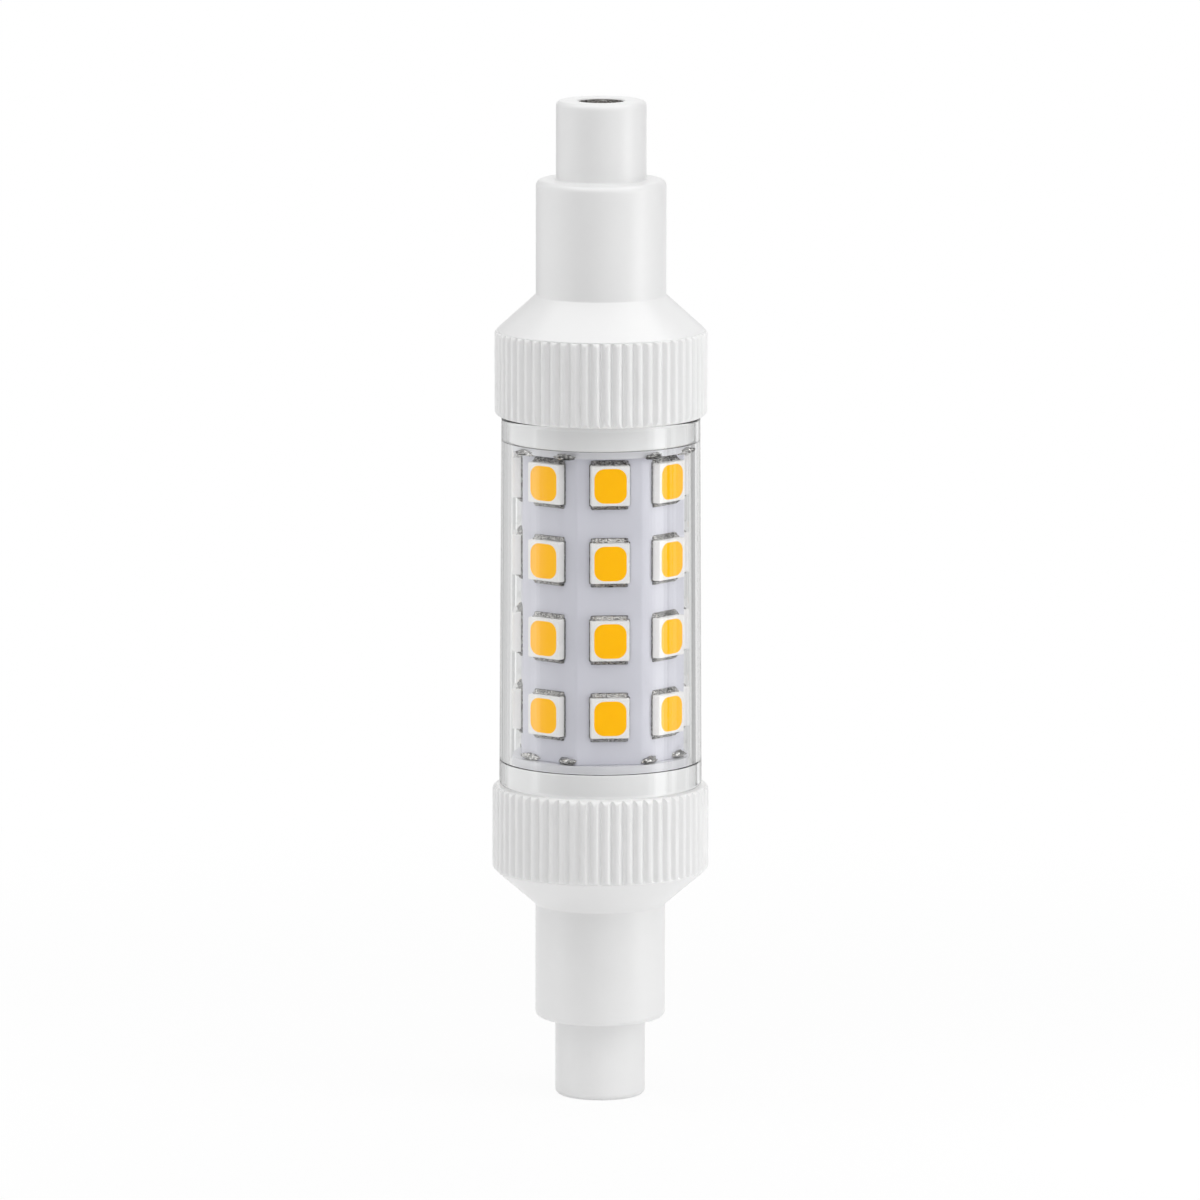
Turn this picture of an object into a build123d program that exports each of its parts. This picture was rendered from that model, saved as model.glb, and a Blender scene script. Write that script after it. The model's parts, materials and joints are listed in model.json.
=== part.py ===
from build123d import *
import math
import os

# A double-ended linear LED lamp: two moulded end caps with knurled rings, a clear drafted tube between
# them, and inside the tube a folded octagonal board that carries rows of surface-mounted LEDs.
# Millimetres. The origin is the centre of the lower end face, and +Z runs along the lamp.

# Lamp
OVERALL_LENGTH = 78.0

# End caps, from the outer end inwards
STUB_DIAMETER = 7.0
STUB_LENGTH = 6.15
STUB_EDGE = 0.4
NECK_DIAMETER = 10.1
NECK_LENGTH = 8.95
NECK_EDGE = 0.45
CONE_HEIGHT = 2.9
RING_HEIGHT = 6.5
RING_WALL = 0.54
RIB_COUNT = 60
RIB_DEPTH = 0.2
RIB_CREST = 0.36
RIB_SETBACK = 0.03
CAP_WALL = 1.0
SPIGOT_REACH = 1.9
SPIGOT_WALL = 0.9

# Contact buttons, each seated behind a round recess in the end of its cap
RECESS_DIAMETER = 3.6
RECESS_DEPTH = 1.7
BUTTON_THICKNESS = 0.8

# Clear tube, with mould draft from the lower ring to the upper one
TUBE_LOWER_DIAMETER = 15.75
TUBE_UPPER_DIAMETER = 15.42
TUBE_WALL = 0.7
TUBE_END_WALL = 0.41

# Folded LED board and the round plates that close its ends
FACETS = 8
BOARD_THICKNESS = 0.9
FOLD_RADIUS = 0.4
PLATE_THICKNESS = 0.6
SOLDER_WIDTH = 0.8
SOLDER_LEG = 0.4

# Surface-mounted LEDs, in rows up each facet of the board
LEAST_ROW_PITCH = 5.6
LOWER_MARGIN = 3.75
UPPER_MARGIN = 2.1
LED_WIDTH = 2.9
LED_LENGTH = 3.1
LED_HEIGHT = 0.7
LED_FLARE = 0.03
SIDE_RIM = 0.23
END_RIM = 0.2
WINDOW_CORNER = 0.5
PHOSPHOR_HEIGHT = 0.04
TERMINAL_INSET = 0.03
TERMINAL_REACH = 0.32
TERMINAL_HEIGHT = 0.3

# Driver board inside the octagon, and the wires that lead to it from the contacts
DRIVER_THICKNESS = 1.0
TAB_WIDTH = 1.8
TAB_SPACING = 6.0
WIRE_DIAMETER = 1.0
WIRE_LAP = 2.5
WIRE_SLOT = 1.6

# Driver components: width, length along the lamp and height off the board
CAPACITOR_SIZE = (2.5, 3.2, 2.5)
FUSE_SIZE = (1.6, 3.2, 0.8)
BRIDGE_SIZE = (3.8, 4.7, 1.4)
CHIP_SIZE = (3.9, 4.9, 1.5)
RESISTOR_SIZE = (1.25, 2.0, 0.6)
COMPONENT_GAP = 1.0

# Fits and clearances
TUBE_CLEARANCE = 0.05
BUTTON_CLEARANCE = 0.05
LED_CLEARANCE = 0.06
PLATE_CLEARANCE = 0.15
DRIVER_CLEARANCE = 0.4
SLOT_CLEARANCE = 0.1
WIRE_CLEARANCE = 0.03
SOLDER_CLEARANCE = 0.05

# Levels along the lamp
neck_start = STUB_LENGTH
cone_start = neck_start + NECK_LENGTH
ring_start = cone_start + CONE_HEIGHT
cap_length = ring_start + RING_HEIGHT
lower_edge = cap_length
upper_edge = OVERALL_LENGTH - cap_length
lower_seat = lower_edge + SPIGOT_REACH
upper_seat = upper_edge - SPIGOT_REACH
board_bottom = lower_seat + PLATE_THICKNESS
board_top = upper_seat - PLATE_THICKNESS
board_length = board_top - board_bottom
rows_span = board_length - LOWER_MARGIN - UPPER_MARGIN
pitches = math.floor(rows_span / LEAST_ROW_PITCH)
row_levels = [board_bottom + LOWER_MARGIN + rows_span * row / pitches for row in range(pitches + 1)]

# Radii and distances from the axis
lower_mouth = TUBE_LOWER_DIAMETER / 2
upper_mouth = TUBE_UPPER_DIAMETER / 2
wall_slope = (lower_mouth - upper_mouth) / (upper_edge - lower_edge)
narrow_bore = min(lower_mouth, upper_mouth) - TUBE_WALL
plate_radius = narrow_bore - PLATE_CLEARANCE
led_face = math.sqrt((narrow_bore - LED_CLEARANCE) ** 2 - (LED_WIDTH / 2) ** 2)
board_face = led_face - LED_HEIGHT
board_inside = board_face - BOARD_THICKNESS
button_bore = STUB_DIAMETER / 2 - CAP_WALL
driver_front = -(WIRE_DIAMETER / 2 + WIRE_CLEARANCE)
driver_back = driver_front - DRIVER_THICKNESS
driver_middle = (driver_front + driver_back) / 2

# The two ends: each plane stands on its end face and looks into the lamp
ENDS = {
    "lower": Plane.XY,
    "upper": Plane(origin=(0, 0, OVERALL_LENGTH), x_dir=(1, 0, 0), z_dir=(0, 0, -1)),
}
MOUTHS = {"lower": lower_mouth, "upper": upper_mouth}

os.makedirs("parts", exist_ok=True)


def write(builder, name):
    builder.part.label = name
    export_step(builder.part, f"parts/{name}.step")


def half_section(end):
    """The plane of a turned profile: local X is the radius, local Y the depth from the end face."""
    return Plane(origin=end.origin, x_dir=end.x_dir, z_dir=-end.y_dir)


def facet_plane(facet, distance, level):
    """A plane parallel to one facet of the octagon, with its local Y along the lamp."""
    turn = facet * 360 / FACETS
    outward = Vector(0, -1, 0).rotate(Axis.Z, turn)
    across = Vector(1, 0, 0).rotate(Axis.Z, turn)
    return Plane(origin=outward * distance + Vector(0, 0, level), x_dir=across, z_dir=outward)


def facet_section(facet, across, level):
    """A plane square to a facet: local X points out of the board, local Y along the lamp."""
    face = facet_plane(facet, board_face, level)
    return Plane(origin=face.from_local_coords((across, 0, 0)), x_dir=face.z_dir, z_dir=-face.x_dir)


def rib_outline(tip, valley):
    """The knurled ring's outline: flat crests with straight flanks that meet in sharp valleys."""
    pitch = 360 / RIB_COUNT
    half_crest = math.degrees(RIB_CREST / 2 / tip)
    points = []
    for rib in range(RIB_COUNT):
        middle = (rib + 0.5) * pitch
        points.append(Vector(valley, 0).rotate(Axis.Z, middle - pitch / 2))
        points.append(Vector(tip, 0).rotate(Axis.Z, middle - half_crest))
        points.append(Vector(tip, 0).rotate(Axis.Z, middle + half_crest))
    return points


# End caps: one moulding each, with the knurled ring and the spigot that carries the tube
for side, end in ENDS.items():
    rim = MOUTHS[side] + RING_WALL
    tip = rim - RIB_SETBACK
    valley = tip - RIB_DEPTH
    spigot = MOUTHS[side] - TUBE_END_WALL - TUBE_CLEARANCE
    spigot_bore = spigot - SPIGOT_WALL
    spigot_floor = ring_start + CAP_WALL
    with BuildPart() as end_cap:
        with BuildSketch(half_section(end)):
            with BuildLine():
                Polyline(
                    (RECESS_DIAMETER / 2, 0),
                    (STUB_DIAMETER / 2 - STUB_EDGE, 0),
                    (STUB_DIAMETER / 2, STUB_EDGE),
                    (STUB_DIAMETER / 2, neck_start),
                    (NECK_DIAMETER / 2 - NECK_EDGE, neck_start),
                    (NECK_DIAMETER / 2, neck_start + NECK_EDGE),
                    (NECK_DIAMETER / 2, cone_start),
                    (rim, ring_start),
                    (spigot, ring_start),
                    (spigot, cap_length + SPIGOT_REACH),
                    (spigot_bore, cap_length + SPIGOT_REACH),
                    (spigot_bore, spigot_floor),
                    (button_bore, spigot_floor),
                    (button_bore, RECESS_DEPTH),
                    (RECESS_DIAMETER / 2, RECESS_DEPTH),
                    close=True,
                )
            make_face()
        revolve(axis=Axis.Z)
        with BuildSketch(end.offset(ring_start)):
            with BuildLine():
                Polyline(*rib_outline(tip, valley), close=True)
            make_face()
            Circle((spigot + spigot_bore) / 2, mode=Mode.SUBTRACT)
        extrude(amount=RING_HEIGHT)
    write(end_cap, f"{side}_end_cap")

# Contact buttons: discs against the shoulder behind each recess
for side, end in ENDS.items():
    with BuildPart() as contact:
        with BuildSketch(end.offset(RECESS_DEPTH)):
            Circle(button_bore - BUTTON_CLEARANCE)
        extrude(amount=BUTTON_THICKNESS)
    write(contact, f"{side}_contact")

# Clear tube: a straight drafted wall that stands on both rings, rebated inside for the caps' spigots
with BuildPart() as clear_tube:
    with BuildSketch(Plane.XZ):
        with BuildLine():
            Bezier((lower_mouth, lower_edge), (upper_mouth, upper_edge))
            Polyline(
                (upper_mouth, upper_edge),
                (upper_mouth - TUBE_END_WALL, upper_edge),
                (upper_mouth - TUBE_END_WALL, upper_seat),
                (upper_mouth + wall_slope * SPIGOT_REACH - TUBE_WALL, upper_seat),
            )
            Bezier(
                (upper_mouth + wall_slope * SPIGOT_REACH - TUBE_WALL, upper_seat),
                (lower_mouth - wall_slope * SPIGOT_REACH - TUBE_WALL, lower_seat),
            )
            Polyline(
                (lower_mouth - wall_slope * SPIGOT_REACH - TUBE_WALL, lower_seat),
                (lower_mouth - TUBE_END_WALL, lower_seat),
                (lower_mouth - TUBE_END_WALL, lower_edge),
                (lower_mouth, lower_edge),
            )
        make_face()
    revolve(axis=Axis.Z)
write(clear_tube, "clear_tube")

# LED board: one strip folded into an octagon
with BuildPart() as led_board:
    with BuildSketch(Plane.XY.offset(board_bottom)):
        RegularPolygon(board_face, FACETS, major_radius=False, rotation=180 / FACETS)
        RegularPolygon(board_inside, FACETS, major_radius=False, rotation=180 / FACETS, mode=Mode.SUBTRACT)
    extrude(amount=board_length)
    folds = led_board.edges().filter_by(Axis.Z).sort_by_distance(led_board.part.center())[-FACETS:]
    fillet(folds, FOLD_RADIUS)
write(led_board, "led_board")

# End plates: round boards between the spigots and the octagon, slotted for the driver board and its wire
for side, level in {"lower": lower_seat, "upper": board_top}.items():
    with BuildPart() as end_plate:
        with BuildSketch(Plane.XY.offset(level)):
            Circle(plate_radius)
            Rectangle(WIRE_SLOT, WIRE_SLOT, mode=Mode.SUBTRACT)
            with GridLocations(TAB_SPACING, 0, 2, 1):
                with Locations((0, driver_middle)):
                    Rectangle(
                        TAB_WIDTH + 2 * SLOT_CLEARANCE,
                        DRIVER_THICKNESS + 2 * SLOT_CLEARANCE,
                        mode=Mode.SUBTRACT,
                    )
        extrude(amount=PLATE_THICKNESS)
    write(end_plate, f"{side}_end_plate")

# Solder fillets that join every second facet of the LED board to the end plates, beside the LEDs
solder_place = LED_WIDTH / 2 + SOLDER_CLEARANCE + SOLDER_WIDTH / 2
for side, level, rise in (("lower", board_bottom, SOLDER_LEG), ("upper", board_top, -SOLDER_LEG)):
    with BuildPart() as solder_joints:
        for facet in range(1, FACETS, 2):
            for across in (-solder_place, solder_place):
                with BuildSketch(facet_section(facet, across, level)):
                    with BuildLine():
                        Polyline((0, 0), (SOLDER_LEG, 0), (0, rise), close=True)
                    make_face()
                extrude(amount=SOLDER_WIDTH / 2, both=True)
    write(solder_joints, f"{side}_solder_joints")

# LEDs: white housings with a little mould draft, one node each
flare_angle = math.degrees(math.atan2(LED_FLARE, LED_HEIGHT))
for facet in range(FACETS):
    for row, level in enumerate(row_levels):
        with BuildPart() as led_housing:
            base = facet_plane(facet, board_face, level)
            with BuildSketch(base):
                Rectangle(LED_WIDTH + 2 * LED_FLARE, LED_LENGTH + 2 * LED_FLARE)
            extrude(amount=LED_HEIGHT)
            walls = led_housing.faces().filter_by(Axis(base.origin, base.z_dir), reverse=True)
            draft(walls, base, flare_angle)
        write(led_housing, f"led_housing_{facet + 1}_{row + 1}")

# Phosphor windows in the housings' faces, one node to a facet
for facet in range(FACETS):
    with BuildPart() as phosphor:
        for level in row_levels:
            with BuildSketch(facet_plane(facet, led_face, level)) as window:
                Rectangle(LED_WIDTH - 2 * SIDE_RIM, LED_LENGTH - 2 * END_RIM)
                chamfer(window.vertices(), WINDOW_CORNER)
            extrude(amount=PHOSPHOR_HEIGHT)
    write(phosphor, f"phosphor_windows_{facet + 1}")

# Soldered terminals against both ends of every housing
heel = LED_LENGTH / 2 + LED_FLARE
lean = LED_FLARE * TERMINAL_HEIGHT / LED_HEIGHT
with BuildPart() as led_terminals:
    for facet in range(FACETS):
        for level in row_levels:
            for outwards in (-1, 1):
                with BuildSketch(facet_section(facet, 0, level)):
                    with BuildLine():
                        Polyline(
                            (0, outwards * heel),
                            (0, outwards * (heel + TERMINAL_REACH)),
                            (TERMINAL_HEIGHT, outwards * (heel - lean)),
                            close=True,
                        )
                    make_face()
                extrude(amount=LED_WIDTH / 2 - TERMINAL_INSET, both=True)
write(led_terminals, "led_terminals")

# Driver board: it stands across the octagon between the end plates, with a pair of tabs in each
driver_half_width = math.sqrt(board_inside**2 - driver_back**2) - DRIVER_CLEARANCE
driver_face = Plane.XZ.offset(-driver_front)
driver_rear = Plane.XZ.offset(-driver_back)
with BuildPart() as driver_board:
    with BuildSketch(driver_face):
        with Locations((0, (board_bottom + board_top) / 2)):
            Rectangle(2 * driver_half_width, board_length)
            with GridLocations(TAB_SPACING, 0, 2, 1):
                Rectangle(TAB_WIDTH, board_length + 2 * PLATE_THICKNESS)
    extrude(amount=DRIVER_THICKNESS)
write(driver_board, "driver_board")

# Lead wires: straight from the back of each contact, through its end plate, to a lap on the driver board
wire_start = RECESS_DEPTH + BUTTON_THICKNESS
for side, end in ENDS.items():
    with BuildPart() as lead_wire:
        with BuildSketch(end.offset(wire_start)):
            Circle(WIRE_DIAMETER / 2)
        extrude(amount=board_bottom + WIRE_LAP - wire_start)
    write(lead_wire, f"{side}_lead_wire")

# Driver components, in line along the two faces of the driver board
FRONT_ROW = {"smoothing_capacitor": CAPACITOR_SIZE, "fuse": FUSE_SIZE}
REAR_ROW = {"bridge_rectifier": BRIDGE_SIZE, "driver_chip": CHIP_SIZE, "sense_resistor": RESISTOR_SIZE}
for plane, outwards, start, row in (
    (driver_face, -1, board_bottom + WIRE_LAP, FRONT_ROW),
    (driver_rear, 1, board_bottom, REAR_ROW),
):
    level = start
    for name, (width, length, height) in row.items():
        level += COMPONENT_GAP
        with BuildPart() as component:
            with BuildSketch(plane):
                with Locations((0, level)):
                    Rectangle(width, length, align=(Align.CENTER, Align.MIN))
            extrude(amount=outwards * height)
        write(component, name)
        level += length
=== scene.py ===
import json
import math

import bmesh
import bpy
from mathutils import Matrix, Vector, noise


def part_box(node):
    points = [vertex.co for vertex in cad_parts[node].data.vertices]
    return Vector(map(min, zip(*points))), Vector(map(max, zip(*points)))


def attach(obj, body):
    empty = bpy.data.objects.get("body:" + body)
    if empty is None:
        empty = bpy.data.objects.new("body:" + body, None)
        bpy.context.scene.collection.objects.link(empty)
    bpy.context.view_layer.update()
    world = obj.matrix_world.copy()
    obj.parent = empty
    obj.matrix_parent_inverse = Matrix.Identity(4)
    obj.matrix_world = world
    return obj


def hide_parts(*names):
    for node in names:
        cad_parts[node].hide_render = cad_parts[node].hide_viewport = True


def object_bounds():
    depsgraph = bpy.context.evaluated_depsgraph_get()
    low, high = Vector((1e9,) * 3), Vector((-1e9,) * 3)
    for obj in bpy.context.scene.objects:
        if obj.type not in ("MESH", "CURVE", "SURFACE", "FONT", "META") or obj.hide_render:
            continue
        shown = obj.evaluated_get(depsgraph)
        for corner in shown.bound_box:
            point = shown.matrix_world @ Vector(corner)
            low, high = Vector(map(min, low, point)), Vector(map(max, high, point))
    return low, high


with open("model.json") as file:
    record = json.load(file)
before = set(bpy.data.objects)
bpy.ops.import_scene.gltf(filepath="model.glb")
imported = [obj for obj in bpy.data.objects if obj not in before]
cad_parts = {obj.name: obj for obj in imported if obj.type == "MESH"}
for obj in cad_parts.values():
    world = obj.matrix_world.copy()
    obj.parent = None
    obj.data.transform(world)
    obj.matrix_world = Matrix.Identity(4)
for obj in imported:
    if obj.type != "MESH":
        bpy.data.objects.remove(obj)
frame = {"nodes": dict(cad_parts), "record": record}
cad_low, cad_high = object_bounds()

# The looks of a double-ended LED lamp: white knurled end caps, a clear tube and a folded board of LEDs.
# Lengths are millimetres in the lamp's own frame, and become metres where a thing is made or placed.
MM = 0.001
BODY = "root"


def box_of(node):
    """The lowest and highest corner of one solid, in millimetres."""
    low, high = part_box(node)
    return low / MM, high / MM


# Sizes that the frame gives
MOUNTS = {mount["name"]: mount["dims"] for mount in frame["record"]["mounts"]}
LENGTH = cad_high.z / MM
STUB_RADIUS = MOUNTS["lower_stub"]["r_mm"]
RECESS_RADIUS = MOUNTS["lower_contact_recess"]["r_mm"]
RECESS_DEPTH = MOUNTS["lower_contact_recess"]["length_mm"]
RIM_RADIUS = {side: box_of(f"{side}_end_cap")[1].x for side in ("lower", "upper")}
BOARD_LOW, BOARD_HIGH = box_of("led_board")
BOARD_FACE = -BOARD_LOW.y
LED_LOW, LED_HIGH = box_of("led_housing_1_1")
LED_BASE = (LED_HIGH.x - LED_LOW.x, LED_HIGH.z - LED_LOW.z)
LED_HEIGHT = LED_HIGH.y - LED_LOW.y
WINDOW_WIDTH = box_of("phosphor_windows_1")[1].x - box_of("phosphor_windows_1")[0].x
FACETS = sum(name.startswith("phosphor_windows_") for name in frame["nodes"])
ROWS = sum(name.startswith("led_housing_1_") for name in frame["nodes"])
ROW_LEVELS = [sum(box_of(f"led_housing_1_{row + 1}"), Vector()).z / 2 for row in range(ROWS)]

# End cap, from its end face inwards
STUB_LENGTH = 6.15
NECK_RADIUS = 5.05
NECK_LENGTH = 8.95
CONE_HEIGHT = 2.9
RING_HEIGHT = 6.5
RING_WALL = 0.54
CAP_WALL = 1.0
BUTTON_BORE = STUB_RADIUS - CAP_WALL
SPIGOT_REACH = 1.9
SPIGOT_WALL = 0.9
SPIGOT_GAP = 0.05
MOUTH_EDGE = 0.12
STUB_EDGE = 0.42
NECK_EDGE = 0.47
INNER_CORNER = 0.14
CONE_EDGE = 0.1
LIP_EDGE = 0.44
SPIGOT_EDGE = 0.15
EDGE_STEPS = 6

# Knurl: ribs with broad crests and narrower round grooves between them. Towards the cone each rib ends in
# a rounded top at a smooth shoulder. Towards the tube the grooves run out through the ring's rounded lip.
RIB_COUNT = 60
RIB_DEPTH = 0.3
GROOVE_SHARPNESS = 1.8
RIB_TOP = 0.28
SHOULDER_INSET = 0.2
SHOULDER_BAND = 0.1
RIB_STEPS = 14
RIB_HOLD = 0.05
RUN_OUT_STEPS = 10
LIP_STEPS = 4 * RUN_OUT_STEPS

# Clear tube
TUBE_WALL = 0.7
TUBE_END_WALL = 0.41
TUBE_END_GAP = 0.03
TUBE_EDGE = 0.09
TUBE_LIP = 0.26
TUBE_SIDES = 288
TUBE_EDGE_STEPS = 5

# Folded board
BOARD_WALL = 0.9
FOLD_RADIUS = 0.4
FOLD_STEPS = 10
BOARD_EDGE = 0.05

# LEDs
LED_FLARE = 0.03
LED_CORNER = 0.1
LED_EDGE = 0.06
LED_EDGE_STEPS = 4
LED_FOOT_GAP = 0.08
LED_FOOT_INSET = 0.2
END_RIM = 0.2
WINDOW_LENGTH = LED_BASE[1] - 2 * LED_FLARE - 2 * END_RIM
WINDOW_CORNER = 0.78
CUP_DEPTH = 0.05
PHOSPHOR_CROWN = 0.03
CROWN_SHARES = (1.0, 0.97, 0.9, 0.75, 0.5, 0.2)
CROWN_POWER = 4
CORNER_STEPS = 6
LEAD_FRAME_EDGE = 0.06
LEAD_FRAME_HEIGHT = 0.12

# Soldered terminals: a fillet with a knob near each end. Its section is in shares of its reach and height.
# Each wave has a depth, and rates at which it changes from terminal to terminal, along one and round it.
TERMINAL_WIDTH = 2.84
TERMINAL_REACH = 0.38
TERMINAL_HEIGHT = 0.34
TERMINAL_OVERLAP = 0.03
TERMINAL_STEPS = 56
TERMINAL_SECTION = (
    (0.0, 0.0), (0.0, 1.0), (0.25, 0.86), (0.5, 0.6), (0.75, 0.46), (0.92, 0.32), (1.0, 0.0),
)
TERMINAL_WAVES = ((0.26, 7.3, 6.5, 0.9), (0.22, 3.9, 19.0, 1.7))
END_SQUARENESS = 16
END_DRAW = 0.2
TOE_WAVE = 0.15
KNOB_PLACE = 0.86
KNOB_WIDTH = 0.08
KNOB_RISE = 0.4

# Solder beads on the diagonal facets: their places across, their half sizes across, along and out of the
# facet, and how far their middle lies inwards from the board's end and out from its face. Each lump has
# a frequency and a depth.
BEAD_PLACES = (-1.75, 1.75)
BEADS = {
    "lower": {"size": (0.78, 0.3, 0.34), "rise": 0.26, "out": 0.0},
    "upper": {"size": (0.95, 0.24, 0.26), "rise": -0.1, "out": 0.5},
}
BEAD_LUMPS = ((1.4, 0.3), (3.3, 0.24), (6.5, 0.16))
BEAD_SHIFT = (5.1, 2.7)
BEAD_SUBDIVISIONS = 4

# Contact: a thin plated skirt lines the recess in front of the button
SKIRT_WALL = 0.05
SKIRT_SETBACK = 0.12
CONTACT_SIDES = 96

# How far the points beside an arc keep off it, as a share of its radius, and a length that counts as none
HOLD = 0.3
TINY = 1e-9

# Angles in degrees above which an edge stays sharp
CREASE = 32
FILL_CREASE = 60
TERMINAL_CREASE = 50
BEAD_CREASE = 80


# Mesh helpers

def skin(rows, closed=False, ends=False):
    """Points and faces of a skin over rows of points. Each row is a closed loop of as many points."""
    count = len(rows[0])
    points = [point for row in rows for point in row]
    faces = []
    for row in range(len(rows) if closed else len(rows) - 1):
        here, there = row * count, (row + 1) % len(rows) * count
        for column in range(count):
            beside = (column + 1) % count
            faces.append((here + column, here + beside, there + beside, there + column))
    if ends:
        faces.append(tuple(reversed(range(count))))
        faces.append(tuple(range(len(points) - count, len(points))))
    return points, faces


def joined(parts):
    """The points and faces of several skins as one."""
    points, faces = [], []
    for part_points, part_faces in parts:
        start = len(points)
        points += part_points
        faces += [tuple(start + index for index in face) for face in part_faces]
    return points, faces


def shaped_mesh(name, points, faces, material, crease=CREASE):
    """A smooth-shaded mesh whose edges sharper than the crease angle stay sharp."""
    mesh = bpy.data.meshes.new(name)
    mesh.from_pydata([Vector(point) * MM for point in points], [], faces)
    shape = bmesh.new()
    shape.from_mesh(mesh)
    bmesh.ops.recalc_face_normals(shape, faces=shape.faces)
    shape.to_mesh(mesh)
    shape.free()
    mesh.polygons.foreach_set("use_smooth", [True] * len(mesh.polygons))
    mesh.set_sharp_from_angle(angle=math.radians(crease))
    mesh.materials.append(material)
    return mesh


def new_object(name, data):
    """A new object in the scene."""
    thing = bpy.data.objects.new(name, data)
    bpy.context.scene.collection.objects.link(thing)
    return thing


def place(name, mesh, nodes, matrix=None):
    """One piece of the lamp that stands for the solids it names."""
    piece = new_object(name, mesh)
    if matrix is not None:
        piece.matrix_world = matrix
    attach(piece, BODY)
    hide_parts(*nodes)


def rounded_corner(before, corner, after, radius, steps, hold=HOLD):
    """The points of one corner of an outline, rounded to a radius.

    One more just outside each end of the arc keeps the shading of the flats beside the corner flat.
    """
    corner = Vector(corner)
    if radius == 0:
        return [corner]
    to_before = (Vector(before) - corner).normalized()
    to_after = (Vector(after) - corner).normalized()
    half = to_before.angle(to_after) / 2
    centre = corner + (to_before + to_after).normalized() * radius / math.sin(half)
    spoke = corner + to_before * radius / math.tan(half) - centre
    turn = math.pi - 2 * half
    if to_before.x * to_after.y - to_before.y * to_after.x > 0:
        turn = -turn
    arc = [centre + Matrix.Rotation(turn * step / steps, 2) @ spoke for step in range(steps + 1)]
    if hold == 0:
        return arc
    return [arc[0] + to_before * hold * radius, *arc, arc[-1] + to_after * hold * radius]


def rounded_outline(corners, steps):
    """A closed outline of (x, y, rounding) corners."""
    count = len(corners)
    outline = []
    for index, (x, y, radius) in enumerate(corners):
        before, after = corners[index - 1][:2], corners[(index + 1) % count][:2]
        outline += rounded_corner(before, (x, y), after, radius, steps)
    return outline


def turned_rows(outline, sides):
    """Rows of a turned skin from an outline of (radius, level) points."""
    turns = [2 * math.pi * side / sides for side in range(sides)]
    spokes = [(math.cos(turn), math.sin(turn)) for turn in turns]
    return [[(radius * x, radius * y, level) for x, y in spokes] for radius, level in outline]


def level_of(side, depth):
    """The level of a point at a depth inwards from one end of the lamp."""
    return depth if side == "lower" else LENGTH - depth


def facet_matrix(facet, distance, level):
    """The place of one facet: local X across it, local Y along the lamp, local Z out of it."""
    turn = 2 * math.pi * facet / FACETS
    across = Vector((math.cos(turn), math.sin(turn), 0))
    outward = Vector((math.sin(turn), -math.cos(turn), 0))
    origin = outward * distance + Vector((0, 0, level))
    columns = (across, Vector((0, 0, 1)), outward, origin)
    return Matrix([[column[axis] for column in columns] for axis in range(3)] + [[0, 0, 0, 1]])


def in_metres(matrix):
    """The same place for an object, whose own units are metres."""
    placed = matrix.copy()
    placed.translation = matrix.translation * MM
    return placed


def rectangle_loop(width, length, corner, height):
    """A rounded rectangle as one loop of points at a height."""
    x, y = width / 2, length / 2
    corners = [(x, -y, corner), (x, y, corner), (-x, y, corner), (-x, -y, corner)]
    return [(*point, height) for point in rounded_outline(corners, CORNER_STEPS)]


# Shader helpers

def link(tree, socket, target):
    """One wire from an output socket to an input socket."""
    tree.links.new(socket, target)


def calculated(tree, operation, *terms):
    """The result of one calculation on sockets or plain numbers."""
    node = tree.nodes.new("ShaderNodeMath")
    node.operation = operation
    for target, term in zip(node.inputs, terms):
        if isinstance(term, bpy.types.NodeSocket):
            link(tree, term, target)
        else:
            target.default_value = term
    return node.outputs["Value"]


def mixed(tree, mask, first, second):
    """The first shader where a mask is 0, and the second where it is 1."""
    mix = tree.nodes.new("ShaderNodeMixShader")
    link(tree, mask, mix.inputs["Fac"])
    link(tree, first, mix.inputs[1])
    link(tree, second, mix.inputs[2])
    return mix.outputs["Shader"]


def shader_material(name, **values):
    """A new material and its surface shader, with plain values on the shader's own sockets."""
    material = bpy.data.materials.new(name)
    material.use_nodes = True
    shader = material.node_tree.nodes["Principled BSDF"]
    for socket, value in values.items():
        shader.inputs[socket.replace("_", " ").title().replace("Ior", "IOR")].default_value = value
    return material, shader


def clear_where(material, shader, mask):
    """Lets rays straight through a material where a mask is 1."""
    tree = material.node_tree
    clear = tree.nodes.new("ShaderNodeBsdfTransparent")
    surface = mixed(tree, mask, shader.outputs["BSDF"], clear.outputs["BSDF"])
    link(tree, surface, tree.nodes["Material Output"].inputs["Surface"])


def effect_group(name, inputs, outputs):
    """An empty shader node group with named float inputs and outputs."""
    group = bpy.data.node_groups.new(name, "ShaderNodeTree")
    for label, value in inputs.items():
        socket = group.interface.new_socket(label, in_out="INPUT", socket_type="NodeSocketFloat")
        socket.default_value = value
    for label in outputs:
        group.interface.new_socket(label, in_out="OUTPUT", socket_type="NodeSocketFloat")
    return group, group.nodes.new("NodeGroupInput"), group.nodes.new("NodeGroupOutput")


def map_range(tree, socket, low, high):
    """A mask from 0 to 1 as a value between two limits."""
    node = tree.nodes.new("ShaderNodeMapRange")
    node.inputs["To Min"].default_value = low
    node.inputs["To Max"].default_value = high
    link(tree, socket, node.inputs["Value"])
    return node.outputs["Result"]


def colour_between(tree, factor, first, second):
    """A colour that goes from one to another with a mask."""
    node = tree.nodes.new("ShaderNodeMix")
    node.data_type = "RGBA"
    node.inputs["A"].default_value = (*first, 1)
    node.inputs["B"].default_value = (*second, 1)
    link(tree, factor, node.inputs["Factor"])
    return node.outputs["Result"]


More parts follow.
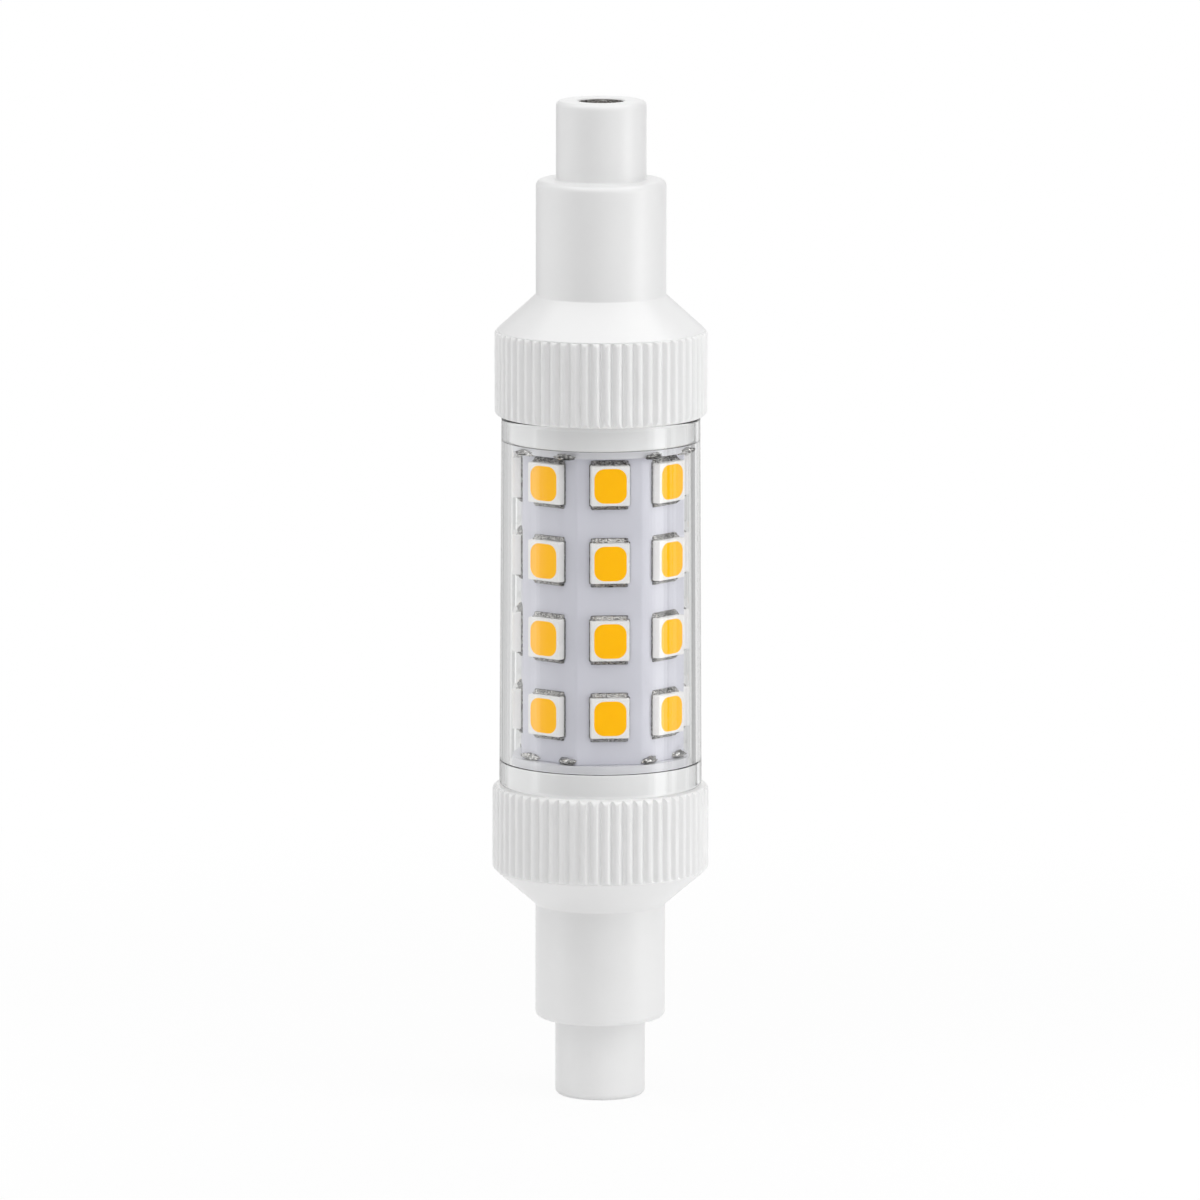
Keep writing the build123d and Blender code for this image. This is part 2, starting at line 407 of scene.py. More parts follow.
def bump(tree, height, depth, shader):
    """Fine relief of a depth in millimetres."""
    node = tree.nodes.new("ShaderNodeBump")
    node.inputs["Strength"].default_value = 1
    node.inputs["Distance"].default_value = depth * MM
    link(tree, height, node.inputs["Height"])
    link(tree, node.outputs["Normal"], shader.inputs["Normal"])


def add_effect(tree, group, **values):
    """One of the shared effects, with a material's own values."""
    node = tree.nodes.new("ShaderNodeGroup")
    node.node_tree = group
    for socket, value in values.items():
        node.inputs[socket.title()].default_value = value
    return node


def noise_of(group, start, scale, detail):
    """Noise in the object's own space. The scale is in grains to a millimetre."""
    where = group.nodes.new("ShaderNodeTexCoord")
    node = group.nodes.new("ShaderNodeTexNoise")
    node.inputs["Detail"].default_value = detail
    link(group, calculated(group, "MULTIPLY", start.outputs["Grain"], scale / MM), node.inputs["Scale"])
    link(group, where.outputs["Object"], node.inputs["Vector"])
    return node.outputs["Fac"]


def moulded_grain():
    """The fine matt relief of a moulded or coated surface, and a slow mottle of its sheen."""
    group, start, end = effect_group("moulded grain", {"Grain": 1.0}, ("Relief", "Mottle"))
    link(group, noise_of(group, start, scale=9, detail=3), end.inputs["Relief"])
    link(group, noise_of(group, start, scale=0.5, detail=2), end.inputs["Mottle"])
    return group


def solder_skin():
    """The uneven skin of tinned metal: a slow ripple, and a fine dull bloom of a chosen contrast."""
    group, start, end = effect_group("solder skin", {"Grain": 1.0, "Contrast": 1.0}, ("Ripple", "Bloom"))
    link(group, noise_of(group, start, scale=3, detail=2), end.inputs["Ripple"])
    middle = 0.5
    centred = calculated(group, "SUBTRACT", noise_of(group, start, scale=8, detail=3), middle)
    spread = calculated(group, "MULTIPLY_ADD", centred, start.outputs["Contrast"], middle)
    spread.node.use_clamp = True
    link(group, spread, end.inputs["Bloom"])
    return group


GRAIN = moulded_grain()
SOLDER_SKIN = solder_skin()


# Materials

def coated(name, pale, dark, roughness, relief, grain=1.0, **values):
    """A moulded or coated surface: mottled colour and sheen over a fine grain."""
    material, shader = shader_material(name, **values)
    tree = material.node_tree
    effect = add_effect(tree, GRAIN, grain=grain)
    link(tree, colour_between(tree, effect.outputs["Mottle"], dark, pale), shader.inputs["Base Color"])
    link(tree, map_range(tree, effect.outputs["Mottle"], *roughness), shader.inputs["Roughness"])
    bump(tree, effect.outputs["Relief"], relief, shader)
    return material


def tinned(name, pale, dark, roughness, relief, grain=1.0, contrast=1.0):
    """Bare tinned or plated metal with an uneven skin."""
    material, shader = shader_material(name, metallic=1.0)
    tree = material.node_tree
    effect = add_effect(tree, SOLDER_SKIN, grain=grain, contrast=contrast)
    link(tree, colour_between(tree, effect.outputs["Bloom"], dark, pale), shader.inputs["Base Color"])
    link(tree, map_range(tree, effect.outputs["Bloom"], *roughness), shader.inputs["Roughness"])
    bump(tree, effect.outputs["Ripple"], relief, shader)
    return material


def clear_moulding():
    """The clear tube: polished, faintly uneven, and open to light from the studio."""
    tint = (0.985, 0.99, 0.99, 1)
    roughness = (0.0, 0.03)
    material, shader = shader_material("clear_moulding", base_color=tint, ior=1.5, transmission_weight=1.0)
    tree = material.node_tree
    effect = add_effect(tree, GRAIN, grain=0.25)
    link(tree, map_range(tree, effect.outputs["Mottle"], *roughness), shader.inputs["Roughness"])
    path = tree.nodes.new("ShaderNodeLightPath")
    light_ray = calculated(tree, "MAXIMUM", path.outputs["Is Shadow Ray"], path.outputs["Is Diffuse Ray"])
    clear_where(material, shader, light_ray)
    return material


# Finishes: two colours and a range of roughness that an effect goes between, and its relief in millimetres

COATED_FINISHES = {
    "cap_moulding": dict(
        pale=(0.87, 0.87, 0.87), dark=(0.85, 0.85, 0.85), roughness=(0.27, 0.34), relief=0.0015,
        specular_ior_level=0.75,
    ),
    "board_coat": dict(
        pale=(0.73, 0.73, 0.8), dark=(0.69, 0.69, 0.76), roughness=(0.4, 0.52), relief=0.003,
    ),
    "end_plate": dict(pale=(0.75, 0.75, 0.78), dark=(0.7, 0.7, 0.73), roughness=(0.25, 0.35), relief=0.003),
    "led_housing": dict(
        pale=(0.95, 0.935, 0.92), dark=(0.92, 0.905, 0.89), roughness=(0.34, 0.48), relief=0.003, grain=2.0,
    ),
    # The phosphor also glows faintly though the LEDs are unlit: a painted glow that makes its yellow
    # brighter and deeper
    "phosphor": dict(
        pale=(1.0, 0.5, 0.0), dark=(0.97, 0.45, 0.0), roughness=(0.3, 0.42), relief=0.003, grain=3.0,
        emission_color=(1.0, 0.52, 0.0, 1), emission_strength=0.2, specular_ior_level=0.05,
    ),
    "driver_laminate": dict(
        pale=(0.05, 0.24, 0.12), dark=(0.03, 0.17, 0.08), roughness=(0.3, 0.45), relief=0.004,
    ),
    "ceramic": dict(pale=(0.58, 0.45, 0.31), dark=(0.5, 0.38, 0.25), roughness=(0.4, 0.55), relief=0.004),
    "black_package": dict(
        pale=(0.035, 0.035, 0.038), dark=(0.02, 0.02, 0.022), roughness=(0.4, 0.6), relief=0.006,
    ),
}
TINNED_FINISHES = {
    "solder": dict(
        pale=(0.8, 0.79, 0.77), dark=(0.12, 0.118, 0.115), roughness=(0.06, 0.2), relief=0.035,
        grain=0.7, contrast=2.5,
    ),
    "terminal_metal": dict(
        pale=(0.62, 0.61, 0.59), dark=(0.05, 0.049, 0.048), roughness=(0.14, 0.4), relief=0.06,
        grain=1.1, contrast=2.5,
    ),
    "contact_metal": dict(
        pale=(0.8, 0.79, 0.77), dark=(0.42, 0.41, 0.4), roughness=(0.15, 0.32), relief=0.04, contrast=2.0,
    ),
    "tinned_wire": dict(pale=(0.7, 0.68, 0.65), dark=(0.5, 0.48, 0.45), roughness=(0.2, 0.35), relief=0.01),
}
MATERIALS = {"clear_moulding": clear_moulding()}
MATERIALS.update({name: coated(name, **finish) for name, finish in COATED_FINISHES.items()})
MATERIALS.update({name: tinned(name, **finish) for name, finish in TINNED_FINISHES.items()})


def dress_solids():
    """The finish of every solid that shows as it is."""
    for part in frame["record"]["subparts"]:
        solid = frame["nodes"][part["node"]]
        solid.data.materials.clear()
        solid.data.materials.append(MATERIALS[part["material_slot"]])


# End caps

def rib_radius(step, tip):
    """The radius of the knurl at one step from a groove over a rib to the next groove."""
    wave = (1 + math.cos(2 * math.pi * step / RIB_STEPS)) / 2
    return tip - RIB_DEPTH * wave**GROOVE_SHARPNESS


def run_up(path, radius):
    """Evenly spaced points up a path of growing radius, as far as one radius."""
    kept = [path[0]]
    for here, there in zip(path, path[1:]):
        if there.x >= radius:
            kept.append(here.lerp(there, (radius - here.x) / max(there.x - here.x, TINY)))
            break
        kept.append(there)
    lengths = [0.0]
    for here, there in zip(kept, kept[1:]):
        lengths.append(lengths[-1] + (there - here).length)
    points = []
    span = 0
    for step in range(RUN_OUT_STEPS + 1):
        wanted = lengths[-1] * step / RUN_OUT_STEPS
        while span < len(kept) - 2 and lengths[span + 1] < wanted:
            span += 1
        share = (wanted - lengths[span]) / max(lengths[span + 1] - lengths[span], TINY)
        points.append(kept[span].lerp(kept[span + 1], share))
    return points


def rib_end(foot, radius):
    """The rounded top of a rib, from its foot at the shoulder out to one radius."""
    points = []
    for step in range(RUN_OUT_STEPS + 1):
        turn = math.pi / 2 * step / RUN_OUT_STEPS
        points.append(foot + Vector(((radius - foot.x) * math.sin(turn), RIB_TOP * (1 - math.cos(turn)))))
    return points


def cap_outlines(side):
    """The closed outline of a cap, as (radius, depth), at each step across one rib."""
    rim = RIM_RADIUS[side]
    spigot = rim - RING_WALL - TUBE_END_WALL - SPIGOT_GAP
    neck_start = STUB_LENGTH
    cone_start = neck_start + NECK_LENGTH
    ring_start = cone_start + CONE_HEIGHT
    ring_end = ring_start + RING_HEIGHT
    spigot_end = ring_end + SPIGOT_REACH
    shoulder = rim - SHOULDER_INSET
    shoulder_depth = ring_start - SHOULDER_INSET * CONE_HEIGHT / (rim - NECK_RADIUS)
    rib_foot = Vector((shoulder, shoulder_depth + SHOULDER_BAND))
    lip = (rim, ring_end, LIP_EDGE)
    corners = [
        (BUTTON_BORE, RECESS_DEPTH, 0),
        (RECESS_RADIUS, RECESS_DEPTH, 0),
        (RECESS_RADIUS, 0, MOUTH_EDGE),
        (STUB_RADIUS, 0, STUB_EDGE),
        (STUB_RADIUS, neck_start, INNER_CORNER),
        (NECK_RADIUS, neck_start, NECK_EDGE),
        (NECK_RADIUS, cone_start, INNER_CORNER),
        (shoulder, shoulder_depth, CONE_EDGE),
        (*rib_foot, 0),
        lip,
        (spigot, ring_end, 0),
        (spigot, spigot_end, SPIGOT_EDGE),
        (spigot - SPIGOT_WALL, spigot_end, SPIGOT_EDGE),
        (spigot - SPIGOT_WALL, ring_start + CAP_WALL, 0),
        (BUTTON_BORE, ring_start + CAP_WALL, 0),
    ]
    lip_corner = corners.index(lip)
    arcs = []
    for index, (radius, depth, rounding) in enumerate(corners):
        before, after = corners[index - 1][:2], corners[(index + 1) % len(corners)][:2]
        steps, hold = (LIP_STEPS, 0) if index == lip_corner else (EDGE_STEPS, HOLD)
        arcs.append(rounded_corner(before, (radius, depth), after, rounding, steps, hold))
    before_ribs = [point for arc in arcs[:lip_corner - 1] for point in arc]
    after_ribs = [point for arc in arcs[lip_corner + 1:] for point in arc]
    up_lip = [Vector((rim - LIP_EDGE, ring_end))] + arcs[lip_corner][::-1][1:]
    outlines = []
    for step in range(RIB_STEPS):
        radius = rib_radius(step, rim)
        rise = rib_end(rib_foot, radius)
        fall = run_up(up_lip, radius)[::-1]
        holds = [rise[-1] + Vector((0, RIB_HOLD)), fall[0] - Vector((0, RIB_HOLD))]
        outlines.append(before_ribs + rise + holds + fall + after_ribs)
    return outlines


def end_cap(side):
    """One moulding: stub, neck, cone, knurled ring and spigot."""
    outlines = cap_outlines(side)
    columns = RIB_COUNT * RIB_STEPS
    turns = [2 * math.pi * column / columns for column in range(columns)]
    rows = []
    for index in range(len(outlines[0])):
        row = []
        for column, turn in enumerate(turns):
            radius, depth = outlines[column % RIB_STEPS][index]
            row.append((radius * math.cos(turn), radius * math.sin(turn), level_of(side, depth)))
        rows.append(row)
    name = f"{side}_cap_moulding"
    mesh = shaped_mesh(name, *skin(rows, closed=True), MATERIALS["cap_moulding"])
    place(name, mesh, [f"{side}_end_cap"])


# Clear tube

def clear_tube():
    """A slightly tapered tube, thinner inside where the spigots reach in."""
    ring_end = STUB_LENGTH + NECK_LENGTH + CONE_HEIGHT + RING_HEIGHT
    lower, upper = (RIM_RADIUS[side] - RING_WALL for side in ("lower", "upper"))
    low_end, high_end = ring_end + TUBE_END_GAP, LENGTH - ring_end - TUBE_END_GAP
    low_seat, high_seat = ring_end + SPIGOT_REACH, LENGTH - ring_end - SPIGOT_REACH
    slope = (lower - upper) / (LENGTH - 2 * ring_end) * SPIGOT_REACH
    corners = [
        (lower, low_end, TUBE_LIP),
        (upper, high_end, TUBE_LIP),
        (upper - TUBE_END_WALL, high_end, TUBE_EDGE),
        (upper - TUBE_END_WALL, high_seat, 0),
        (upper + slope - TUBE_WALL, high_seat, TUBE_EDGE),
        (lower - slope - TUBE_WALL, low_seat, TUBE_EDGE),
        (lower - TUBE_END_WALL, low_seat, 0),
        (lower - TUBE_END_WALL, low_end, TUBE_EDGE),
    ]
    rows = turned_rows(rounded_outline(corners, TUBE_EDGE_STEPS), TUBE_SIDES)
    mesh = shaped_mesh("tube_moulding", *skin(rows, closed=True), MATERIALS["clear_moulding"])
    place("tube_moulding", mesh, ["clear_tube"])


# Folded board

def octagon_loop(face, fold, level):
    """One loop of the folded board: flat facets between rounded folds."""
    reach = face / math.cos(math.pi / FACETS)
    turns = [2 * math.pi * (facet + 0.5) / FACETS for facet in range(FACETS)]
    corners = [(reach * math.cos(turn), reach * math.sin(turn), fold) for turn in turns]
    return [(*point, level) for point in rounded_outline(corners, FOLD_STEPS)]


def folded_board():
    """A strip folded into an open octagon, with its edges broken."""
    inside = BOARD_FACE - BOARD_WALL
    rows = [
        octagon_loop(inside, BOARD_EDGE, BOARD_LOW.z),
        octagon_loop(BOARD_FACE - BOARD_EDGE, FOLD_RADIUS, BOARD_LOW.z),
        octagon_loop(BOARD_FACE, FOLD_RADIUS, BOARD_LOW.z + BOARD_EDGE),
        octagon_loop(BOARD_FACE, FOLD_RADIUS, BOARD_HIGH.z - BOARD_EDGE),
        octagon_loop(BOARD_FACE - BOARD_EDGE, FOLD_RADIUS, BOARD_HIGH.z),
        octagon_loop(inside, BOARD_EDGE, BOARD_HIGH.z),
    ]
    mesh = shaped_mesh("folded_board", *skin(rows, closed=True), MATERIALS["board_coat"])
    place("folded_board", mesh, ["led_board"])


# LEDs

def led_housing_mesh():
    """A flared package with rounded edges, a shadow gap at its foot and a shallow cup in its face."""
    width, length = LED_BASE
    foot_width, foot_length = width - 2 * LED_FOOT_INSET, length - 2 * LED_FOOT_INSET
    rows = [
        rectangle_loop(foot_width, foot_length, LED_CORNER, 0),
        rectangle_loop(foot_width, foot_length, LED_CORNER, LED_FOOT_GAP),
        rectangle_loop(width, length, LED_CORNER, LED_FOOT_GAP),
    ]
    for step in range(LED_EDGE_STEPS + 1):
        turn = math.pi / 2 * step / LED_EDGE_STEPS
        height = LED_HEIGHT - LED_EDGE * (1 - math.sin(turn))
        inset = LED_FLARE * height / LED_HEIGHT + LED_EDGE * (1 - math.cos(turn))
        rows.append(rectangle_loop(width - 2 * inset, length - 2 * inset, LED_CORNER, height))
    for sunk in (0, CUP_DEPTH):
        cup_width, cup_length = WINDOW_WIDTH - sunk, WINDOW_LENGTH - sunk
        rows.append(rectangle_loop(cup_width, cup_length, WINDOW_CORNER, LED_HEIGHT - sunk))
    return shaped_mesh("led_package", *skin(rows, ends=True), MATERIALS["led_housing"])


def phosphor_fill():
    """The fill of one cup, crowned a little over the package's face."""
    sunk = CUP_DEPTH / 2
    rows = [rectangle_loop(WINDOW_WIDTH - sunk, WINDOW_LENGTH - sunk, WINDOW_CORNER, -sunk)]
    for share in CROWN_SHARES:
        height = PHOSPHOR_CROWN * (1 - share**CROWN_POWER)
        width, length, corner = WINDOW_WIDTH * share, WINDOW_LENGTH * share, WINDOW_CORNER * share
        rows.append(rectangle_loop(width, length, corner, height))
    return skin(rows, ends=True)


def terminal_wave(seed, side, index):
    """How uneven one terminal is at a place along it and a point of its section."""
    wave = 1.0
    for depth, between, along, around in TERMINAL_WAVES:
        wave += depth * noise.noise(Vector((seed * between, side * along, index * around)))
    return wave


def led_terminal(seed):
    """One soldered terminal: a rough fillet against the end of a package."""
    rows = []
    for step in range(TERMINAL_STEPS + 1):
        side = 2 * step / TERMINAL_STEPS - 1
        fade = math.sqrt(max(0.0, 1 - abs(side) ** END_SQUARENESS))
        knob = 1 + KNOB_RISE * math.exp(-(((abs(side) - KNOB_PLACE) / KNOB_WIDTH) ** 2))
        drawn = 1 - END_DRAW + END_DRAW * fade
        row = []
        for index, (reach, rise) in enumerate(TERMINAL_SECTION):
            wave = terminal_wave(seed, side, index)
            out = reach * TERMINAL_REACH * drawn * (1 - TOE_WAVE + TOE_WAVE * wave)
            row.append((side * TERMINAL_WIDTH / 2, out, rise * TERMINAL_HEIGHT * wave * knob * fade))
        rows.append(row)
    return skin(rows, ends=True)


def lead_frame():
    """The metal foot that shows as a thin edge round a package."""
    width, length = (size + 2 * LEAD_FRAME_EDGE for size in LED_BASE)
    rows = [rectangle_loop(width, length, LED_CORNER, height) for height in (0.0, LEAD_FRAME_HEIGHT)]
    return skin(rows, ends=True)


def moved(part, matrix):
    """A skin at another place."""
    points, faces = part
    return [matrix @ Vector(point) for point in points], faces


def leds():
    """Each package as a piece, the fills joined by facet, and all terminals joined with the lead frames."""
    package = led_housing_mesh()
    terminals = []
    heel = Matrix.Translation((0, LED_BASE[1] / 2 - TERMINAL_OVERLAP, 0))
    for facet in range(FACETS):
        fills = []
        for row, level in enumerate(ROW_LEVELS):
            name = f"led_package_{facet + 1}_{row + 1}"
            matrix = facet_matrix(facet, BOARD_FACE, level)
            place(name, package, [f"led_housing_{facet + 1}_{row + 1}"], in_metres(matrix))
            fills.append(moved(phosphor_fill(), facet_matrix(facet, BOARD_FACE + LED_HEIGHT, level)))
            terminals.append(moved(lead_frame(), matrix))
            for end in (-1, 1):
                half_turn = Matrix.Rotation(0 if end > 0 else math.pi, 4, "Z")
                terminals.append(moved(led_terminal(len(terminals)), matrix @ half_turn @ heel))
        name = f"phosphor_fills_{facet + 1}"
        mesh = shaped_mesh(name, *joined(fills), MATERIALS["phosphor"], crease=FILL_CREASE)
        place(name, mesh, [f"phosphor_windows_{facet + 1}"])
    metal = MATERIALS["terminal_metal"]
    mesh = shaped_mesh("soldered_terminals", *joined(terminals), metal, crease=TERMINAL_CREASE)
    place("soldered_terminals", mesh, ["led_terminals"])


# Solder beads

def bead(seed, size):
    """One uneven drop of solder."""
    shape = bmesh.new()
    bmesh.ops.create_icosphere(shape, subdivisions=BEAD_SUBDIVISIONS, radius=1)
    points = []
    for vertex in shape.verts:
        lump = 1.0
        for frequency, depth in BEAD_LUMPS:
            shift = Vector((seed * BEAD_SHIFT[0], seed * BEAD_SHIFT[1], frequency))
            lump += depth * noise.noise(vertex.co * frequency + shift)
        points.append(Vector([axis * half * lump for axis, half in zip(vertex.co, size)]))
    faces = [tuple(vertex.index for vertex in face.verts) for face in shape.faces]
    shape.free()
    return points, faces


def solder_beads():
    """Two drops at each end of every diagonal facet, joined by end."""
    levels = {"lower": BOARD_LOW.z, "upper": BOARD_HIGH.z}
    for side, form in BEADS.items():
        beads = []
        inwards = 1 if side == "lower" else -1
        level = levels[side] + inwards * form["rise"]
        for facet in range(1, FACETS, 2):
            middle = facet_matrix(facet, BOARD_FACE + form["out"], level)
            for across in BEAD_PLACES:
                shift = Matrix.Translation((across, 0, 0))
                beads.append(moved(bead(len(beads) + levels[side], form["size"]), middle @ shift))
        name = f"{side}_solder_beads"
        mesh = shaped_mesh(name, *joined(beads), MATERIALS["solder"], crease=BEAD_CREASE)
        place(name, mesh, [f"{side}_solder_joints"])


# Contacts

def contact(side):
    """A button with a thin skirt that lines the recess up to just behind the cap's end face."""
    low, high = box_of(f"{side}_contact")
    radius, thickness = high.x, high.z - low.z
    skirt = RECESS_RADIUS - SKIRT_WALL
    section = [
        (0.0, RECESS_DEPTH + thickness),
        (0.0, RECESS_DEPTH),
        (skirt, RECESS_DEPTH),
        (skirt, SKIRT_SETBACK),
        (RECESS_RADIUS, SKIRT_SETBACK),
        (RECESS_RADIUS, RECESS_DEPTH),
        (radius, RECESS_DEPTH),
        (radius, RECESS_DEPTH + thickness),
    ]
    outline = [(reach, level_of(side, depth)) for reach, depth in section]
    rows = turned_rows(outline, CONTACT_SIDES)
    name = f"{side}_contact_cup"
    mesh = shaped_mesh(name, *skin(rows, closed=True), MATERIALS["contact_metal"])
    place(name, mesh, [f"{side}_contact"])


# Studio

# A white tent: its brightness in front and behind, and the directions along Y between which it changes
TENT_FRONT = 0.24
TENT_BACK = 0.1
TENT_FADE = (-0.9, 0.5)
# A white floor just under the lamp. For the camera it glows, a little less near the lamp to keep the shadow
FLOOR_REACH = 4000.0
FLOOR_GAP = 0.02
FLOOR_TONE = 0.92
FLOOR_GLOW = 0.92
FLOOR_NEAR = 20.0
FLOOR_FAR = 130.0
# Soft lights: azimuth, elevation, distance, width, height, whether reflections show it, and brightness
LIGHTS = (
    ("right inner strip", 52.5, 0, 75, 11.0, 77.6, True, 0.6),
    ("right strip", 64.7, 0, 75, 21.2, 77.6, True, 1.65),
    ("right fill", 68.0, 14, 76, 26.0, 90.0, False, 1.8),
    ("left strip", -81.0, 0, 75, 22.5, 77.6, True, 0.45),
    ("left inner strip", -64.0, 0, 75, 22.0, 77.6, True, 0.25),
    ("left fill", -104.0, 14, 76, 26.0, 90.0, False, 1.75),
    ("top softbox", 0, 82, 260, 400, 400, True, 1.32),
    ("front fill", -2, 14, 400, 800, 500, False, 0.48),
    ("back fill", 176, 20, 400, 800, 500, False, 0.42),
)
# Grey cards out of the picture, which show in the tube and on the solder. One lies on the floor in front
# and shows only where it is mirrored: its tone, nearest and furthest reach and width. The others stand
# round the lamp: tone, azimuth, distance, width and height.
FLOOR_CARD = (0.03, 25.0, 900.0, 1200.0)
STANDING_CARDS = (
    ("left near card", 0.66, 185.5, 121.0, 19.0, 200.0),
    ("left dark card", 0.36, 194.0, 120.0, 11.0, 200.0),
    ("left far card", 0.62, 209.0, 121.0, 56.0, 200.0),
    ("right near card", 0.66, 158.0, 121.0, 34.0, 200.0),
    ("right dark card", 0.42, 126.5, 120.0, 60.0, 200.0),
    ("right side card", 0.35, 99.0, 121.0, 44.0, 200.0),
)
# Camera: degrees, and millimetres for the rest
CAMERA_DISTANCE = 1000.0
CAMERA_AZIMUTH = -6.2
CAMERA_ELEVATION = 8.9
CAMERA_ROLL = 0.07
CAMERA_LENS = 386.3
CAMERA_SENSOR = 36
CAMERA_CLIP = (50.0, 100000.0)
AIM = Vector((-0.05, 0, 38.95))


def direction(azimuth, elevation):
    """The way out from the lamp: azimuth 0 is -Y, and it grows towards +X."""
    turn, lift = math.radians(azimuth), math.radians(elevation)
    return Vector((math.sin(turn) * math.cos(lift), -math.cos(turn) * math.cos(lift), math.sin(lift)))


def camera():
    """A long lens that looks slightly down on the lamp from a little to the left."""
    data = bpy.data.cameras.new("camera")
    data.lens = CAMERA_LENS
    data.sensor_width = CAMERA_SENSOR
    data.clip_start, data.clip_end = (distance * MM for distance in CAMERA_CLIP)
    eye = new_object("camera", data)
    back = direction(CAMERA_AZIMUTH, CAMERA_ELEVATION)
    eye.location = (AIM + back * CAMERA_DISTANCE) * MM
    eye.rotation_mode = "QUATERNION"
    roll = Matrix.Rotation(math.radians(CAMERA_ROLL), 3, "Z").to_quaternion()
    eye.rotation_quaternion = (-back).to_track_quat("-Z", "Y") @ roll
    bpy.context.scene.camera = eye


def softbox(name, azimuth, elevation, distance, width, height, mirrored, brightness):
    """A soft light that faces the lamp's middle. The camera doesn't see it, but reflections may show it."""
    data = bpy.data.lights.new(name, "AREA")
    data.shape = "RECTANGLE"
    data.size, data.size_y = width * MM, height * MM
    data.energy = brightness * math.pi * data.size * data.size_y
    box = new_object(name, data)
    out = direction(azimuth, elevation)
    box.location = (AIM + out * distance) * MM
    box.rotation_mode = "QUATERNION"
    box.rotation_quaternion = (-out).to_track_quat("-Z", "Y")
    box.visible_camera = False
    box.visible_glossy = mirrored
    box.visible_transmission = mirrored


def background_mask(tree):
    """1 for what is seen straight on, in a reflection or through the tube, and 0 for light on the lamp."""
    path = tree.nodes.new("ShaderNodeLightPath")
    seen = path.outputs["Is Camera Ray"]
    for ray in ("Is Transmission Ray", "Is Glossy Ray"):
        seen = calculated(tree, "MAXIMUM", seen, path.outputs[ray])
    return seen


def studio_world():
    """A white tent that is dimmer behind. The camera, the tube and the metal see plain white."""
    world = bpy.data.worlds.new("studio")
    bpy.context.scene.world = world
    world.use_nodes = True
    tree = world.node_tree
    where = tree.nodes.new("ShaderNodeTexCoord")
    split = tree.nodes.new("ShaderNodeSeparateXYZ")
    link(tree, where.outputs["Generated"], split.inputs["Vector"])
    depth = tree.nodes.new("ShaderNodeMapRange")
    depth.interpolation_type = "SMOOTHSTEP"
    depth.inputs["From Min"].default_value, depth.inputs["From Max"].default_value = TENT_FADE
    depth.inputs["To Min"].default_value = TENT_FRONT
    depth.inputs["To Max"].default_value = TENT_BACK
    link(tree, split.outputs["Y"], depth.inputs["Value"])
    tent = tree.nodes["Background"]
    plain = tree.nodes.new("ShaderNodeBackground")
    for background in (tent, plain):
        background.inputs["Color"].default_value = (1, 1, 1, 1)
    link(tree, depth.outputs["Result"], tent.inputs["Strength"])
    surface = mixed(tree, background_mask(tree), tent.outputs["Background"], plain.outputs["Background"])
    link(tree, surface, tree.nodes["World Output"].inputs["Surface"])


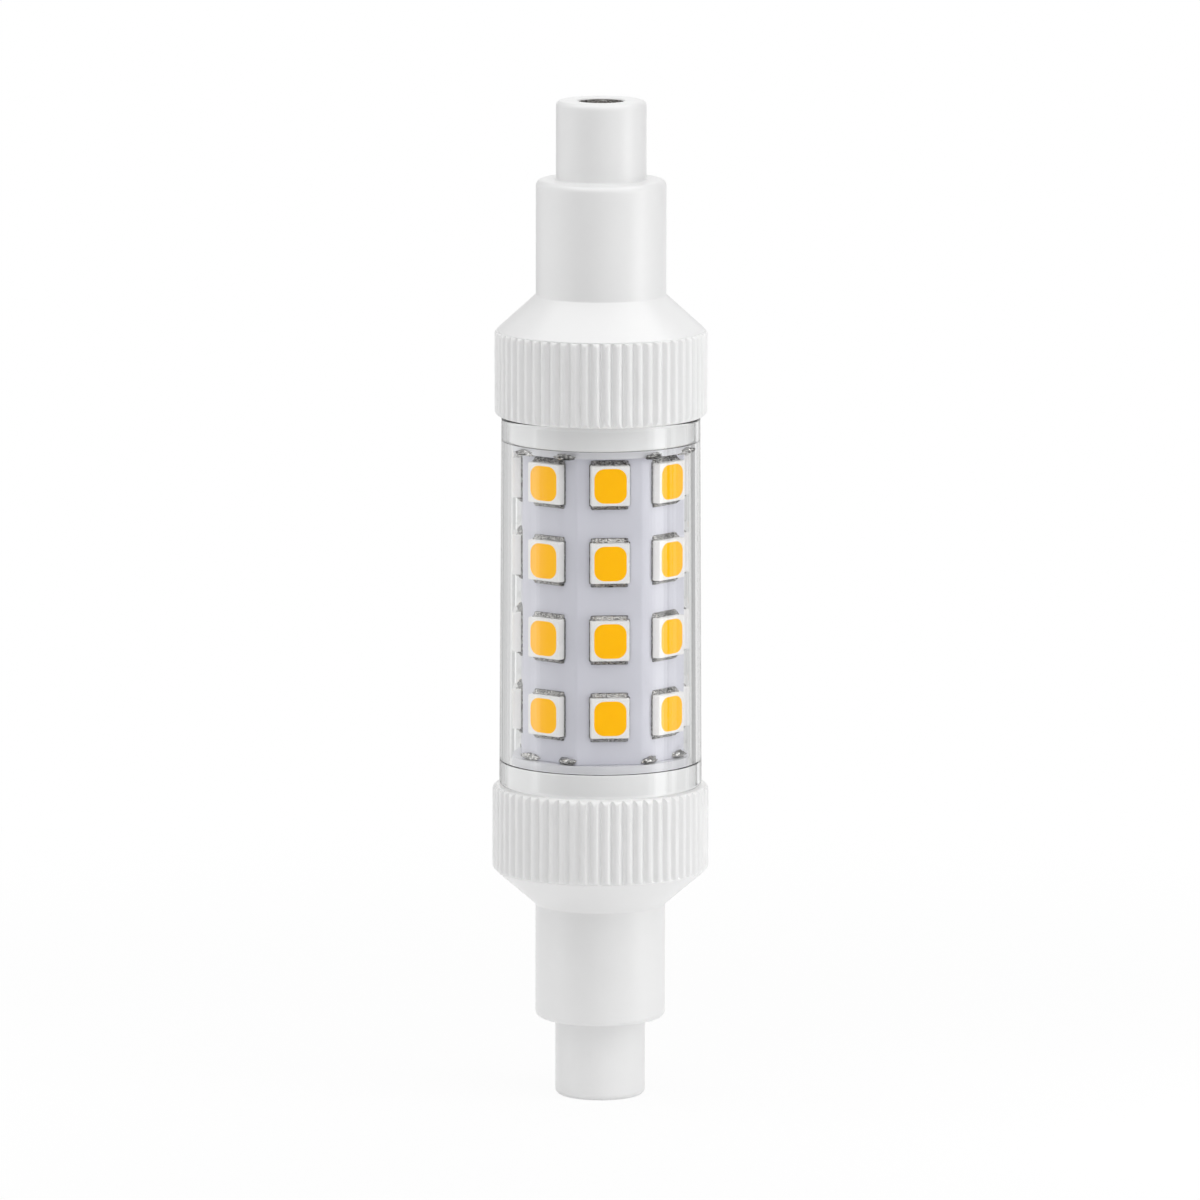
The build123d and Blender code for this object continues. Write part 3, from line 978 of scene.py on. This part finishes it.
def floor_material():
    """Matt white that glows for the camera, the tube and the metal, and less near the lamp."""
    material, standard = shader_material("floor")
    tree = material.node_tree
    tree.nodes.remove(standard)
    matt = tree.nodes.new("ShaderNodeBsdfDiffuse")
    matt.inputs["Color"].default_value = (FLOOR_TONE, FLOOR_TONE, FLOOR_TONE, 1)
    glow = tree.nodes.new("ShaderNodeEmission")
    glow.inputs["Strength"].default_value = 1.0
    where = tree.nodes.new("ShaderNodeTexCoord")
    spread = tree.nodes.new("ShaderNodeVectorMath")
    spread.operation = "LENGTH"
    link(tree, where.outputs["Object"], spread.inputs[0])
    fade = tree.nodes.new("ShaderNodeMapRange")
    fade.interpolation_type = "SMOOTHSTEP"
    fade.inputs["From Min"].default_value = FLOOR_NEAR * MM
    fade.inputs["From Max"].default_value = FLOOR_FAR * MM
    fade.inputs["To Min"].default_value = FLOOR_GLOW
    link(tree, spread.outputs["Value"], fade.inputs["Value"])
    share = calculated(tree, "MULTIPLY", background_mask(tree), fade.outputs["Result"])
    surface = mixed(tree, share, matt.outputs["BSDF"], glow.outputs["Emission"])
    link(tree, surface, tree.nodes["Material Output"].inputs["Surface"])
    return material


def sheet(name, corners, material):
    """A flat part of the studio with four corners."""
    mesh = bpy.data.meshes.new(name)
    mesh.from_pydata([Vector(corner) * MM for corner in corners], [], [(0, 1, 2, 3)])
    mesh.materials.append(material)
    flat = new_object(name, mesh)
    return flat


def floor():
    """A wide white floor that keeps the lamp's soft shadow."""
    corners = [(-1, -1), (1, -1), (1, 1), (-1, 1)]
    sheet("floor", [(x * FLOOR_REACH, y * FLOOR_REACH, -FLOOR_GAP) for x, y in corners], floor_material())


def card(name, tone, corners, mirrored_only=False):
    """A card of an even tone that shows in reflections, and through the tube unless it is only mirrored."""
    material, shader = shader_material(name, base_color=(0, 0, 0, 1), roughness=1.0)
    shader.inputs["Emission Color"].default_value = (tone, tone, tone, 1)
    shader.inputs["Emission Strength"].default_value = 1.0
    if mirrored_only:
        path = material.node_tree.nodes.new("ShaderNodeLightPath")
        unmirrored = calculated(material.node_tree, "LESS_THAN", path.outputs["Glossy Depth"], 1)
        clear_where(material, shader, unmirrored)
    flat = sheet(name, corners, material)
    flat.visible_camera = False
    flat.visible_diffuse = False
    flat.visible_shadow = False


def cards():
    """All the cards round the lamp."""
    tone, near, far, width = FLOOR_CARD
    lying = [(-width / 2, -far), (width / 2, -far), (width / 2, -near), (-width / 2, -near)]
    card("floor card", tone, [(x, y, FLOOR_GAP) for x, y in lying], mirrored_only=True)
    for name, tone, azimuth, distance, width, height in STANDING_CARDS:
        middle = direction(azimuth, 0) * distance
        aside = direction(azimuth + 90, 0) * width / 2
        foot = [middle - aside, middle + aside]
        card(name, tone, [*foot, *(point + Vector((0, 0, height)) for point in reversed(foot))])


bpy.context.scene.view_settings.view_transform = "Standard"
dress_solids()
for side in ("lower", "upper"):
    end_cap(side)
    contact(side)
clear_tube()
folded_board()
leds()
solder_beads()
camera()
studio_world()
floor()
cards()
for light in LIGHTS:
    softbox(*light)
